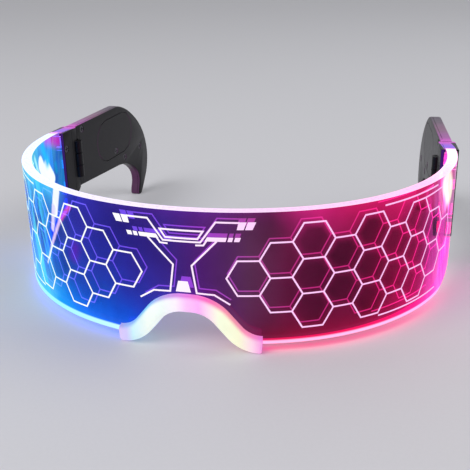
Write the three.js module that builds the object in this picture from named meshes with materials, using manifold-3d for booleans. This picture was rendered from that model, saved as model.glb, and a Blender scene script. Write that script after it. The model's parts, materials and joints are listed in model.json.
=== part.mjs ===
// Light up party glasses: a one-piece clear visor, lit through its two ends, on folding temple arms.
// Lengths are millimetres. In the lens frame x runs across the face, y from the front towards the
// head and z up. Its zero is the middle of the lens's outer face, on the centre line of the pattern.
// right and left are the wearer's: the right arm is at minus x.
import * as THREE from 'three';
import { mergeVertices } from 'three/addons/utils/BufferGeometryUtils.js';
import Module from 'manifold-3d';

const wasm = await Module();
wasm.setup();

// Clearances
const fitGap = 0.3; // round a part that is slid or pressed in by hand
const stackGap = 0.15; // between the layers inside an arm, and round a pin or a screw
const cutOver = 2; // how far a cut runs past the face that it opens
const weldDistance = 1e-5; // corners nearer than this are one
const roundFacets = 24;
const screwFacets = 12;
const curveFacets = 3; // in each curve of an outline

// Lens: a bent sheet of clear acrylic
const lensThickness = 3.5;
const lensHeight = 43.2;
const patternRise = 0.6; // pattern's centre line above the middle of the sheet
const frontRadius = 93; // outer face across the nose
const frontHalfArc = 34; // length of that curve on each side
const sideRadius = 73; // outer face round the side of the head
const sideArc = 94; // length of that curve
const tongueLength = 6; // straight end of the sheet, inside the clamp
const wingTaper = 42; // length of the stretch where the lower edge rises to the clamp
const wingRise = 9.3;
const lensStations = 132;

// Nose notch in the lower edge, and the soft pad pushed on to it
const notchDepth = 13.7;
const notchFlat = 1.3; // half of the level part under the bridge
const notchCrownRadius = 12;
const notchFootRadius = 12;
const notchAngle = THREE.MathUtils.degToRad(51);
const padHeight = 6;
const padWall = 2.3;
const padReach = 22.8; // half of its length, measured across the lens
const padRounding = 2.2;
const padLipRounding = 0.9;
const padStations = 36;

// Clamp: the housing at the end of the lens
const clampWall = 1.2;
const clampStart = 2; // from the end of the bend
const clampToeDrop = 0.5; // clamp's front lower corner below the lens's edge
const clampBlock = 4; // solid block that carries the hinge
const clampEdge = 0.4;
const armDrop = 0.4; // top of the arms below the top of the lens
const bellyDrop = 5.6; // arm's lower edge at the hinge, below the pattern's centre line
const clampScrewSetback = 2.1; // from the clamp's front edge
const clampScrewSpacing = 19;
const clampScrewCentre = 4; // middle of the two screws above the pattern's centre line

// Light board behind the end of the lens
const ledThickness = 1.6;
const ledWidth = 2.8;
const ledHeight = 3.5;
const ledPitch = 9.5;
const ledBoardThickness = 0.8;
const ledBoardWidth = 3.1;
const ledBoardMargin = 1.2;
const ledCentre = 6; // middle light above the pattern's centre line

// Hinge
const hingeHeight = 7; // middle of the hinge above the pattern's centre line
const hingeStandOff = 0.55; // axis beyond the arm's inner face
const knuckleRadius = 2.1;
const knuckleHeight = 5;
const pinRadius = 0.7;
const hingeSeam = 0.4; // between the clamp and the arm

// Temple arm: an outer shell and an inner cover, with the hook behind the ear
const shellWall = 1;
const coverWall = 1;
const armFrontBlock = 3.2;
const armStraight = 40.6; // from the hinge seam to the start of the hook
const armSag = 2.2; // fall of the lower edge over that length
const hookReach = 32.5; // from the start of the hook to the rearmost point
const hookDrop = 50; // from the arm's top to the tip of the hook
const armEdge = 0.6;
const footCut = 0.4; // depth of the small flat that the arms and the pad stand on
// Hook outline, from the lower edge to the tip and from the tip to the top: shares of its reach and its drop
const hookInsideShares = [
  [0.22, 0.405], [0.44, 0.34], [0.6, 0.25], [0.645, 0.155], [0.6, 0.07], [0.59, 0.025], [0.64, 0.003],
];
const hookTipShares = [0.7, 0.012];
const hookOutsideShares = [
  [0.82, 0.1], [0.96, 0.24], [1, 0.41], [0.91, 0.6], [0.7, 0.77], [0.4, 0.91], [0.15, 0.98],
];

// Cells and contacts
const cellDiameter = 16;
const cellThickness = 1.6;
const cellStart = 20.6; // from the arm's front to the first cell's edge
const cellWall = 0.9; // between the two cell pockets
const cellHeight = 7.3; // cells' centres above the pattern's centre line
const leafThickness = 0.2;
const leafWidth = 3;
const leafLap = 2.5; // how far a leaf reaches over the control board

// Control board, switch and button
const boardStart = 6.6; // from the arm's front
const boardLength = 12.4;
const boardHeight = 17;
const boardThickness = 0.55;
const boardMargin = 0.8; // pocket round the board
const switchSide = 5;
const switchThickness = 0.5;
const buttonRadius = 2.3;
const buttonFlange = 0.8;
const buttonFlangeThickness = 0.25;
const buttonProud = 0.8;
const buttonTravel = 0.4;

// Battery door
const doorMargin = 0.2; // door's inner step beyond the cells
const doorLip = 1.1; // its outer step beyond the inner one
const doorLipThickness = 0.5;
const doorScrewDrop = 7.2; // below the cells' centres

// Screws: countersunk, with a cross recess
const screwHead = 1.45;
const screwHeadDepth = 0.65;
const screwShank = 0.75;
const clampScrewLength = 5.9;
const armScrewLength = 3.4;
const recessWidth = 0.4;
const recessDepth = 0.4;
const recessShare = 0.7; // of the head's width
const topScrewInset = 2.4; // below the arm's top edge
const topScrewStation = 6.2; // from the arm's front
const bellyScrewHeight = -5.2; // from the pattern's centre line
const hookScrewShares = [0.72, 0.5]; // of the hook's reach and drop

const lensTop = lensHeight / 2 - patternRise;
const lensBottom = lensTop - lensHeight;
const bendEnd = frontHalfArc + sideArc;
const lensEnd = bendEnd + tongueLength;
const frontAngle = frontHalfArc / frontRadius;

// Depths are measured from the lens's outer face towards the head
const cavityDepth = cellThickness + 2 * leafThickness + 4 * stackGap;
const armThickness = shellWall + cavityDepth + coverWall;
const armOuter = (lensThickness - armThickness) / 2;
const armInner = armOuter + armThickness;
const cavityFloor = armOuter + shellWall;
const coverFace = armInner - coverWall;
const clampOuter = -fitGap - clampWall;
const clampInner = lensThickness + fitGap + clampWall;
const armTop = lensTop - armDrop;

// Stations along an arm, from the end of the bend
const ledFace = tongueLength + fitGap;
const ledBoardFace = ledFace + ledThickness + stackGap;
const blockStart = ledBoardFace + ledBoardThickness + fitGap;
const hingeStation = blockStart + clampBlock + hingeSeam / 2;
const hingeDepth = armInner + hingeStandOff;
const armStart = hingeStation + hingeSeam / 2;
const hookStart = armStart + armStraight;
const cellPitch = cellDiameter + 2 * fitGap + cellWall;
const cellStations = [0, 1].map((i) => armStart + cellStart + cellDiameter / 2 + i * cellPitch);

function finish(color, roughness, metalness, more = {}) {
  return new THREE.MeshStandardMaterial({ color, roughness, metalness, ...more });
}

const acrylic = finish(0xb9a8f0, 0.05, 0, { transparent: true, opacity: 0.45 });
const silicone = finish(0xf0eef6, 0.5, 0);
const blackPlastic = finish(0x0d0c12, 0.32, 0);
const steel = finish(0xb8bac0, 0.3, 1);
const cellSteel = finish(0xc6c8cc, 0.25, 1);
const brassLeaf = finish(0xc9a24a, 0.35, 1);
const boardGreen = finish(0x0f5a35, 0.5, 0);
const blueLight = finish(0x66ccff, 0.4, 0, { emissive: 0x2288ff });
const pinkLight = finish(0xff77cc, 0.4, 0, { emissive: 0xff2299 });

// Solids and meshes

function toSolid(geometry) {
  const bare = geometry.clone();
  bare.deleteAttribute('normal');
  bare.deleteAttribute('uv');
  const merged = mergeVertices(bare, weldDistance);
  return new wasm.Manifold(new wasm.Mesh({
    numProp: 3,
    vertProperties: new Float32Array(merged.attributes.position.array),
    triVerts: new Uint32Array(merged.index.array),
  }));
}

function toGeometry(solid) {
  const mesh = solid.getMesh();
  const geometry = new THREE.BufferGeometry();
  geometry.setAttribute('position', new THREE.BufferAttribute(new Float32Array(mesh.vertProperties), 3));
  geometry.setIndex(new THREE.BufferAttribute(new Uint32Array(mesh.triVerts), 1));
  geometry.computeVertexNormals();
  return geometry;
}

function joined(solids) {
  return solids.reduce((all, solid) => all.add(solid));
}

function cut(solid, cutters) {
  return cutters.reduce((left, cutter) => left.subtract(cutter), solid);
}

// Moves every vertex by a function of its place
function reshaped(geometry, move) {
  const places = geometry.attributes.position;
  const point = new THREE.Vector3();
  for (let i = 0; i < places.count; i += 1) {
    move(point.fromBufferAttribute(places, i));
    places.setXYZ(i, point.x, point.y, point.z);
  }
  return geometry;
}

// The same geometry on the other side of the plane y = 0
function mirrored(geometry) {
  const copy = geometry.clone();
  reshaped(copy, (point) => point.setY(-point.y));
  const index = copy.index.array;
  for (let i = 0; i < index.length; i += 3) {
    [index[i], index[i + 1]] = [index[i + 1], index[i]];
  }
  copy.computeVertexNormals();
  return copy;
}

// Arm frame: x rearwards from the end of the bend, y towards the head, z up

// A flat outline in x and z, made thick from one depth to another
function plate(shape, from, to, edge = 0) {
  const geometry = new THREE.ExtrudeGeometry(shape, {
    depth: to - from - 2 * edge,
    bevelEnabled: edge > 0,
    bevelThickness: edge,
    bevelSize: edge,
    bevelOffset: -edge,
    bevelSegments: 2,
    curveSegments: curveFacets,
  });
  geometry.translate(0, 0, edge);
  geometry.rotateX(Math.PI / 2);
  geometry.translate(0, to, 0);
  return toSolid(geometry);
}

function block(xs, ys, zs) {
  const geometry = new THREE.BoxGeometry(xs[1] - xs[0], ys[1] - ys[0], zs[1] - zs[0]);
  geometry.translate((xs[0] + xs[1]) / 2, (ys[0] + ys[1]) / 2, (zs[0] + zs[1]) / 2);
  return toSolid(geometry);
}

// A round bar through the thickness of the arm
function crossBar(radius, from, to, x, z) {
  const geometry = new THREE.CylinderGeometry(radius, radius, to - from, roundFacets);
  geometry.translate(x, (from + to) / 2, z);
  return toSolid(geometry);
}

// A round bar along the hinge axis
function uprightBar(radius, from, to) {
  const geometry = new THREE.CylinderGeometry(radius, radius, to - from, roundFacets);
  geometry.rotateX(Math.PI / 2);
  geometry.translate(hingeStation, hingeDepth, (from + to) / 2);
  return toSolid(geometry);
}

function polygon(points) {
  return new THREE.Shape(points.map(([x, z]) => new THREE.Vector2(x, z)));
}

// A slot with round ends, round both cells
function doorOutline(radius) {
  const shape = new THREE.Shape();
  shape.absarc(cellStations[1], cellHeight, radius, -Math.PI / 2, Math.PI / 2);
  shape.absarc(cellStations[0], cellHeight, radius, Math.PI / 2, Math.PI * 1.5);
  return shape;
}

// The sheet's plan: one arc across the nose, one round the side of the head, then straight
function planPoint(s, depth) {
  const along = Math.abs(s);
  const heading = along <= frontHalfArc ? along / frontRadius
    : frontAngle + Math.min(along - frontHalfArc, sideArc) / sideRadius;
  const front = Math.min(heading, frontAngle);
  const past = Math.max(along - bendEnd, 0);
  const turned = [Math.sin(heading) - Math.sin(front), Math.cos(front) - Math.cos(heading)];
  const x = frontRadius * Math.sin(front) + sideRadius * turned[0] + past * Math.cos(heading);
  const y = frontRadius * (1 - Math.cos(front)) + sideRadius * turned[1] + past * Math.sin(heading);
  const side = Math.sign(s);
  return { x: side * (x - depth * Math.sin(heading)), y: y + depth * Math.cos(heading), heading };
}

// Height of the nose notch above the lower edge, and its slope, at a distance from the middle
const notchFootRun = notchFootRadius * Math.sin(notchAngle);
const notchCrownRun = notchCrownRadius * Math.sin(notchAngle);
const notchArcDrop = (notchCrownRadius + notchFootRadius) * (1 - Math.cos(notchAngle));
const notchSlopeRun = (notchDepth - notchArcDrop) / Math.tan(notchAngle);
const notchHalfWidth = notchFlat + notchCrownRun + notchSlopeRun + notchFootRun;

function notchAt(distance) {
  const fromFoot = notchHalfWidth - distance;
  if (fromFoot <= 0) {
    return { rise: 0, slope: 0 };
  }
  if (fromFoot <= notchFootRun) {
    const angle = Math.asin(fromFoot / notchFootRadius);
    return { rise: notchFootRadius * (1 - Math.cos(angle)), slope: -Math.tan(angle) };
  }
  const fromCrown = distance - notchFlat;
  if (fromCrown <= 0) {
    return { rise: notchDepth, slope: 0 };
  }
  if (fromCrown <= notchCrownRun) {
    const angle = Math.asin(fromCrown / notchCrownRadius);
    return { rise: notchDepth - notchCrownRadius * (1 - Math.cos(angle)), slope: -Math.tan(angle) };
  }
  const footRise = notchFootRadius * (1 - Math.cos(notchAngle));
  return { rise: footRise + (fromFoot - notchFootRun) * Math.tan(notchAngle), slope: -Math.tan(notchAngle) };
}

function edgeHeight(s) {
  const along = Math.abs(s);
  const taper = THREE.MathUtils.smoothstep(along, lensEnd - wingTaper, lensEnd);
  return lensBottom + notchAt(along).rise + wingRise * taper;
}

// Outlines of the clamp: the whole of it, or drawn in by its wall for the pocket and the lens's tongue
const clampEnd = hingeStation - hingeSeam / 2;
const clampToe = edgeHeight(bendEnd + clampStart) - clampToeDrop;
const clampSlope = (-bellyDrop - clampToe) / (clampEnd - clampStart);
const wholeHeight = [lensBottom - hookDrop, lensTop + hookDrop];

function clampOutline(inset, from, to) {
  const lift = inset * Math.hypot(1, clampSlope);
  const floorAt = (x) => clampToe + lift + clampSlope * (x - clampStart);
  return polygon([[from, floorAt(from)], [to, floorAt(to)], [to, armTop - inset], [from, armTop - inset]]);
}

function hookPoint([reachShare, heightShare]) {
  return new THREE.Vector2(hookStart + hookReach * reachShare, armTop - hookDrop * (1 - heightShare));
}

function armOutline() {
  const shape = new THREE.Shape();
  shape.moveTo(armStart, -bellyDrop);
  shape.lineTo(hookStart, -bellyDrop - armSag);
  const shares = [...hookInsideShares, hookTipShares, ...hookOutsideShares];
  shape.splineThru([...shares.map(hookPoint), new THREE.Vector2(hookStart, armTop)]);
  shape.lineTo(armStart, armTop);
  return shape;
}

// The floor that the pad's ends and the tips of the hooks stand on
const padFoot = new THREE.Vector2(planPoint(padReach, lensThickness / 2).y, lensBottom - padHeight / 2);
const tipStation = bendEnd + hookPoint(hookTipShares).x;
const hookFoot = new THREE.Vector2(planPoint(tipStation, 0).y, armTop - hookDrop);
const floorTilt = Math.atan2(padFoot.y - hookFoot.y, hookFoot.x - padFoot.x);

function floorGeometry() {
  const size = 2 * lensEnd;
  const geometry = new THREE.BoxGeometry(2 * size, 2 * size, size);
  geometry.translate(0, 0, -size / 2);
  geometry.rotateX(-floorTilt);
  geometry.translate(0, padFoot.x, padFoot.y + footCut);
  return geometry;
}

function armFrame(side) {
  const frame = new THREE.Group();
  const place = planPoint(bendEnd, 0);
  frame.position.set(side * place.x, place.y, 0);
  frame.rotation.z = side > 0 ? place.heading : Math.PI - place.heading;
  frame.updateMatrixWorld();
  return frame;
}

const floorInArm = toSolid(floorGeometry().applyMatrix4(armFrame(1).matrixWorld.invert()));

// Screws lie just under a face and point away from the wearer's head
function screwProfile(face, length, grow) {
  const top = face - stackGap;
  const shoulder = top - screwHeadDepth;
  const shank = screwShank + grow;
  const rim = screwHead + grow;
  const tip = top - length - grow;
  const end = grow > 0 ? [[rim, face + cutOver], [0, face + cutOver]] : [[0, top]];
  const points = [[0, tip], [shank, tip], [shank, shoulder], [rim, top], ...end];
  return points.map(([x, y]) => new THREE.Vector2(x, y));
}

function turnedScrew(face, length, grow, x, z) {
  const geometry = new THREE.LatheGeometry(screwProfile(face, length, grow), screwFacets);
  return toSolid(geometry.translate(x, 0, z));
}

function screwHole(face, length, x, z) {
  return turnedScrew(face, length, stackGap, x, z);
}

function screw(face, length, x, z) {
  const reach = screwHead * recessShare;
  const half = recessWidth / 2;
  const depths = [face - stackGap - recessDepth, face + cutOver];
  return cut(turnedScrew(face, length, 0, x, z), [
    block([x - reach, x + reach], depths, [z - half, z + half]),
    block([x - half, x + half], depths, [z - reach, z + reach]),
  ]);
}

// The lens and its pad

function lens() {
  const sheet = new THREE.BoxGeometry(1, 1, 1, lensStations, 1, 1).translate(0, 1 / 2, 1 / 2);
  reshaped(sheet, (point) => {
    const s = 2 * point.x * lensEnd;
    const low = edgeHeight(s);
    const place = planPoint(s, point.y * lensThickness);
    point.set(place.x, place.y, low + point.z * (lensTop - low));
  });
  const depths = [-cutOver, lensThickness + cutOver];
  const inset = clampWall + fitGap;
  const tongue = plate(clampOutline(inset, clampStart - cutOver, clampEnd), ...depths);
  const trim = block([clampStart - fitGap, tongueLength + cutOver], depths, wholeHeight).subtract(tongue);
  const cutters = [trim, ...clampScrewPlaces.map(([x, z]) => screwHole(clampInner, clampScrewLength, x, z))];
  const placed = [1, -1].flatMap((side) => cutters.map((cutter) => {
    const geometry = side > 0 ? toGeometry(cutter) : mirrored(toGeometry(cutter));
    return toSolid(geometry.applyMatrix4(armFrame(side).matrixWorld));
  }));
  return cut(toSolid(sheet), placed);
}

function nosePad() {
  const front = -fitGap - padWall;
  const back = lensThickness + fitGap + padWall;
  const low = -padHeight / 2;
  const high = padHeight / 2;
  const quarter = Math.PI / 2;
  const section = new THREE.Shape(); // x through the lens, y up into it
  section.absarc(front + padRounding, low + padRounding, padRounding, 2 * quarter, 3 * quarter);
  section.absarc(back - padRounding, low + padRounding, padRounding, 3 * quarter, 4 * quarter);
  section.absarc(back - padLipRounding, high - padLipRounding, padLipRounding, 0, quarter);
  section.lineTo(lensThickness + fitGap, high);
  section.lineTo(lensThickness + fitGap, -fitGap);
  section.lineTo(-fitGap, -fitGap);
  section.lineTo(-fitGap, high);
  section.absarc(front + padLipRounding, high - padLipRounding, padLipRounding, quarter, 2 * quarter);
  const tube = new THREE.ExtrudeGeometry(section, {
    depth: 1, steps: padStations, bevelEnabled: false, curveSegments: curveFacets,
  });
  reshaped(tube, (point) => {
    const s = (2 * point.z - 1) * padReach;
    const edge = notchAt(Math.abs(s));
    const slope = Math.sign(s) * edge.slope;
    const length = Math.hypot(1, slope);
    const place = planPoint(s - point.y * slope / length, point.x);
    point.set(place.x, place.y, lensBottom + edge.rise + point.y / length);
  });
  return toSolid(tube).subtract(toSolid(floorGeometry()));
}

// The clamp at each end of the lens

const coverBack = lensThickness + fitGap; // inner face of the clamp's cover
const clampScrewPlaces = [1, -1].map((end) => (
  [clampStart + clampScrewSetback, clampScrewCentre + end * clampScrewSpacing / 2]
));
const clampBody = plate(clampOutline(0, clampStart, clampEnd), clampOuter, clampInner, clampEdge);
const clampHoles = clampScrewPlaces.map(([x, z]) => screwHole(clampInner, clampScrewLength, x, z));
const knuckleLow = hingeHeight - knuckleHeight / 2;
const knuckleHigh = hingeHeight + knuckleHeight / 2;
const hingeLow = knuckleLow - fitGap - knuckleHeight;
const hingeHigh = knuckleHigh + fitGap + knuckleHeight;
const hingeBore = uprightBar(pinRadius + stackGap, hingeLow - cutOver, hingeHigh + cutOver);

function lensClamp() {
  const front = clampStart - cutOver;
  const back = clampInner + cutOver;
  const coverRoom = block([front, blockStart], [coverBack - stackGap, back], wholeHeight);
  const pocket = plate(clampOutline(clampWall, front, blockStart), -fitGap, back);
  const knuckleRoom = uprightBar(knuckleRadius + fitGap, knuckleLow - fitGap, knuckleHigh + fitGap);
  const knuckles = [
    uprightBar(knuckleRadius, hingeLow, knuckleLow - fitGap),
    uprightBar(knuckleRadius, knuckleHigh + fitGap, hingeHigh),
  ];
  const shell = cut(clampBody, [coverRoom, pocket, knuckleRoom]);
  return cut(joined([shell, ...knuckles]), [hingeBore, ...clampHoles]);
}

function clampCover() {
  const stations = [clampStart - cutOver, blockStart - stackGap];
  const room = block(stations, [coverBack, clampInner + cutOver], wholeHeight);
  return cut(clampBody.intersect(room), clampHoles);
}

function ledBoard() {
  const middle = lensThickness / 2;
  const half = ledPitch + ledHeight / 2 + ledBoardMargin;
  return block([ledBoardFace, ledBoardFace + ledBoardThickness],
    [middle - ledBoardWidth / 2, middle + ledBoardWidth / 2], [ledCentre - half, ledCentre + half]);
}

function led(row) {
  const middle = lensThickness / 2;
  const height = ledCentre + row * ledPitch;
  return block([ledFace, ledFace + ledThickness],
    [middle - ledWidth / 2, middle + ledWidth / 2], [height - ledHeight / 2, height + ledHeight / 2]);
}

// The temple arm

const armBody = plate(armOutline(), armOuter, armInner, armEdge).subtract(floorInArm);
const armBlockEnd = armStart + armFrontBlock;
const pastHook = armStart + 2 * lensEnd;
const pastInner = armInner + cutOver;
const boardFront = armStart + boardStart;
const boardMiddle = boardFront + boardLength / 2;
const hookScrew = hookPoint(hookScrewShares);
const armScrewPlaces = {
  upper: [armStart + topScrewStation, armTop - topScrewInset],
  lower: [cellStations[1], bellyScrewHeight],
  hook: [hookScrew.x, hookScrew.y],
};
const doorScrewPlace = [(cellStations[0] + cellStations[1]) / 2, cellHeight - doorScrewDrop];
const armScrewHoles = [...Object.values(armScrewPlaces), doorScrewPlace]
  .map(([x, z]) => screwHole(armInner, armScrewLength, x, z));
const leafHalf = leafWidth / 2;
const leafFront = boardFront + boardLength - leafLap;
const leafEnd = cellStations[1] + leafWidth;
const plusDepth = coverFace - stackGap - leafThickness;
const flangeFace = cavityFloor + stackGap;
const switchFace = flangeFace + buttonFlangeThickness + buttonTravel + stackGap;
const boardFace = switchFace + switchThickness + stackGap;
const doorLipRadius = cellDiameter / 2 + doorMargin + doorLip;
const doorStepRadius = cellDiameter / 2 + doorMargin;

function armShell() {
  const coverRoom = block([armBlockEnd, pastHook], [coverFace - stackGap, pastInner], wholeHeight);
  const room = [cavityFloor, pastInner];
  const halfHeight = boardHeight / 2 + boardMargin;
  const boardRoom = block([boardFront - boardMargin, boardFront + boardLength + boardMargin],
    room, [cellHeight - halfHeight, cellHeight + halfHeight]);
  const cellRooms = cellStations.map((x) => crossBar(cellDiameter / 2 + fitGap, ...room, x, cellHeight));
  const leafRoom = block([leafFront - fitGap, leafEnd + fitGap],
    room, [cellHeight - leafHalf - fitGap, cellHeight + leafHalf + fitGap]);
  const buttonHole = crossBar(buttonRadius + fitGap, armOuter - cutOver, cavityFloor + cutOver,
    boardMiddle, cellHeight);
  const knuckleRooms = [
    uprightBar(knuckleRadius + fitGap, hingeLow - fitGap, knuckleLow),
    uprightBar(knuckleRadius + fitGap, knuckleHigh, hingeHigh + fitGap),
  ];
  const rooms = [coverRoom, boardRoom, ...cellRooms, leafRoom, buttonHole, ...knuckleRooms];
  const knuckle = uprightBar(knuckleRadius, knuckleLow, knuckleHigh);
  return cut(cut(armBody, rooms).add(knuckle), [hingeBore, ...armScrewHoles]);
}

function armCover() {
  const room = block([armBlockEnd + stackGap, pastHook], [coverFace, pastInner], wholeHeight);
  const seat = armInner - doorLipThickness - stackGap;
  const step = plate(doorOutline(doorStepRadius + fitGap), armOuter, pastInner);
  const lip = plate(doorOutline(doorLipRadius + fitGap), seat, pastInner);
  return cut(armBody.intersect(room), [step, lip, ...armScrewHoles]);
}

function batteryDoor() {
  const lipFace = armInner - doorLipThickness;
  const step = plate(doorOutline(doorStepRadius), coverFace, lipFace + stackGap);
  const lip = plate(doorOutline(doorLipRadius), lipFace, armInner);
  return step.add(lip).subtract(screwHole(armInner, armScrewLength, ...doorScrewPlace));
}

function contactLeaf(from) {
  const heights = [cellHeight - leafHalf, cellHeight + leafHalf];
  return block([leafFront, leafEnd], [from, from + leafThickness], heights);
}

function controlBoard() {
  return block([boardFront, boardFront + boardLength], [boardFace, boardFace + boardThickness],
    [cellHeight - boardHeight / 2, cellHeight + boardHeight / 2]);
}

function tactSwitch() {
  const half = switchSide / 2;
  return block([boardMiddle - half, boardMiddle + half], [switchFace, switchFace + switchThickness],
    [cellHeight - half, cellHeight + half]);
}

function pushButton() {
  const cap = crossBar(buttonRadius, armOuter - buttonProud, flangeFace + buttonFlangeThickness,
    boardMiddle, cellHeight);
  const flange = crossBar(buttonRadius + buttonFlange, flangeFace, flangeFace + buttonFlangeThickness,
    boardMiddle, cellHeight);
  return cap.add(flange);
}

// Assembly

const glasses = new THREE.Group();

function addPiece(parent, name, solid, material, side = 1) {
  const geometry = side > 0 ? toGeometry(solid) : mirrored(toGeometry(solid));
  const mesh = new THREE.Mesh(geometry, material);
  mesh.name = name;
  parent.add(mesh);
}

addPiece(glasses, 'visor_lens', lens(), acrylic);
addPiece(glasses, 'nose_pad', nosePad(), silicone);

const armPieces = {
  lens_clamp: [lensClamp(), blackPlastic],
  clamp_cover: [clampCover(), blackPlastic],
  clamp_screw_upper: [screw(clampInner, clampScrewLength, ...clampScrewPlaces[0]), steel],
  clamp_screw_lower: [screw(clampInner, clampScrewLength, ...clampScrewPlaces[1]), steel],
  led_board: [ledBoard(), boardGreen],
  hinge_pin: [uprightBar(pinRadius, hingeLow, hingeHigh), steel],
  temple_shell: [armShell(), blackPlastic],
  temple_cover: [armCover(), blackPlastic],
  temple_screw_upper: [screw(armInner, armScrewLength, ...armScrewPlaces.upper), steel],
  temple_screw_lower: [screw(armInner, armScrewLength, ...armScrewPlaces.lower), steel],
  temple_screw_hook: [screw(armInner, armScrewLength, ...armScrewPlaces.hook), steel],
  battery_door: [batteryDoor(), blackPlastic],
  door_screw: [screw(armInner, armScrewLength, ...doorScrewPlace), steel],
  cell_contact_minus: [contactLeaf(flangeFace), brassLeaf],
  cell_contact_plus: [contactLeaf(plusDepth), brassLeaf],
  control_board: [controlBoard(), boardGreen],
  tact_switch: [tactSwitch(), steel],
  push_button: [pushButton(), blackPlastic],
};
const cellNames = ['front', 'rear'];
const ledRows = { lower: -1, middle: 0, upper: 1 };
const cellFace = cavityFloor + leafThickness + 2 * stackGap;

for (const [side, word, light] of [[-1, 'right', blueLight], [1, 'left', pinkLight]]) {
  const frame = armFrame(side);
  for (const [name, [solid, material]] of Object.entries(armPieces)) {
    addPiece(frame, `${word}_${name}`, solid, material, side);
  }
  cellStations.forEach((x, i) => {
    const cell = crossBar(cellDiameter / 2, cellFace, cellFace + cellThickness, x, cellHeight);
    addPiece(frame, `${word}_cell_${cellNames[i]}`, cell, cellSteel, side);
  });
  for (const [place, row] of Object.entries(ledRows)) {
    addPiece(frame, `${word}_led_${place}`, led(row), light, side);
  }
  glasses.add(frame);
}

// Stood on its pad and its hooks, with the origin on the floor under the middle of its box
const model = new THREE.Group();
model.add(glasses);
glasses.rotation.x = floorTilt;
const box = new THREE.Box3().setFromObject(model, true);
glasses.position.set(0, -(box.min.y + box.max.y) / 2, -box.min.z);
model.updateMatrixWorld(true);

export default model;
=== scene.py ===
import json
import math
import bpy
from mathutils import Matrix, Vector


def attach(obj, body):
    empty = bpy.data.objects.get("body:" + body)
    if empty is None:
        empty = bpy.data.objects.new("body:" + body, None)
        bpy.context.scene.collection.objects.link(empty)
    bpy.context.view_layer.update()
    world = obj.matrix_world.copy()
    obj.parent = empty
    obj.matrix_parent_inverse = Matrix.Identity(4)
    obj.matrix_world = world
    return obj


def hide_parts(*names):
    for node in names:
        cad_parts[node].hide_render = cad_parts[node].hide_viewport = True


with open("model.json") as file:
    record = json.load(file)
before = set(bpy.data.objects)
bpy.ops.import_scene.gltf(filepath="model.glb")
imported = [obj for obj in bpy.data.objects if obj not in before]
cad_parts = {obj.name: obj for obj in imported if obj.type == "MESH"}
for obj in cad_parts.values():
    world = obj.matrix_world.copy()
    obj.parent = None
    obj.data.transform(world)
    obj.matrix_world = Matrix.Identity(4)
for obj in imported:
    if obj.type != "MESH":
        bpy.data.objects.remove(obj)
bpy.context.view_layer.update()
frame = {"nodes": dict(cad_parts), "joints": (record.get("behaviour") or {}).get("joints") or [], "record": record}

print("packed glasses loaded")

mm = 0.001

# How the glasses stand. The sheet's own frame has its zero in the middle of its outer face
stand = {"front": -82.263, "rise": 24.667}
hinge = next(joint for joint in frame["joints"] if joint["name"] == "left_temple_fold")
stand["tilt"] = math.atan2(-hinge["axis"][1], hinge["axis"][2])
fromSheet = Matrix.Translation((0, stand["front"], stand["rise"])) @ Matrix.Rotation(stand["tilt"], 4, "X")

# The bent sheet, in millimetres
sheet = {
    "frontRadius": 93,
    "frontArc": 34,
    "sideRadius": 73,
    "sideArc": 94,
    "straightEnd": 6,  # past both arcs, into the clamp
    "thick": 3.5,
    "top": 21.0,
    "bottom": -22.2,
    "patternMiddle": -1.1,  # the middle of the engraving, from the middle of the sheet
}


def planPoint(s, depth):
    along = abs(s)
    turn = sheet["frontArc"] / sheet["frontRadius"]
    if along <= sheet["frontArc"]:
        heading = along / sheet["frontRadius"]
    else:
        heading = turn + min(along - sheet["frontArc"], sheet["sideArc"]) / sheet["sideRadius"]
    front = min(heading, turn)
    past = max(along - sheet["frontArc"] - sheet["sideArc"], 0)
    x = sheet["frontRadius"] * math.sin(front) + sheet["sideRadius"] * (math.sin(heading) - math.sin(front))
    y = (sheet["frontRadius"] * (1 - math.cos(front))
         + sheet["sideRadius"] * (math.cos(front) - math.cos(heading)))
    x += past * math.cos(heading) - depth * math.sin(heading)
    y += past * math.sin(heading) + depth * math.cos(heading)
    return math.copysign(x, s), y


def onSheet(s, z, depth):
    x, y = planPoint(s + sheet["patternMiddle"], depth)
    return (fromSheet @ Vector((x, y, z))) * mm


# Colours are written as they look on a screen, 0 to 255
def tint(red, green, blue, share=1.0):
    def linear(value):
        value = value / 255
        return value / 12.92 if value <= 0.04045 else ((value + 0.055) / 1.055) ** 2.4
    return tuple(linear(value) * share for value in (red, green, blue))


def newObject(name, data):
    thing = bpy.data.objects.new(name, data)
    bpy.context.scene.collection.objects.link(thing)
    return thing


def newMesh(name, points, faces):
    mesh = bpy.data.meshes.new(name)
    mesh.from_pydata(points, [], faces)
    mesh.update()
    return newObject(name, mesh)


# Small helpers for shader nodes
def startMaterial(name, **settings):
    material = bpy.data.materials.new(name)
    material.use_nodes = True
    shader = material.node_tree.nodes["Principled BSDF"]
    for key, value in settings.items():
        shader.inputs[key.replace("_", " ")].default_value = value
    return material, material.node_tree, shader


def addNode(tree, kind, *values, **named):
    node = tree.nodes.new(kind)
    pairs = [(node.inputs[i], value) for i, value in enumerate(values)]
    pairs += [(node.inputs[key.replace("_", " ")], value) for key, value in named.items()]
    for socket, value in pairs:
        if isinstance(value, bpy.types.NodeSocket):
            tree.links.new(value, socket)
        else:
            socket.default_value = value
    return node


def calc(tree, operation, *values, clamp=False):
    node = addNode(tree, "ShaderNodeMath", *values)
    node.operation = operation
    node.use_clamp = clamp
    return node.outputs[0]


# A value times the first number of a pair, plus the second
def fitted(tree, value, pair):
    return calc(tree, "MULTIPLY_ADD", value, *pair)


def product(tree, first, *others):
    for value in others:
        first = calc(tree, "MULTIPLY", first, value)
    return first


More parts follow.
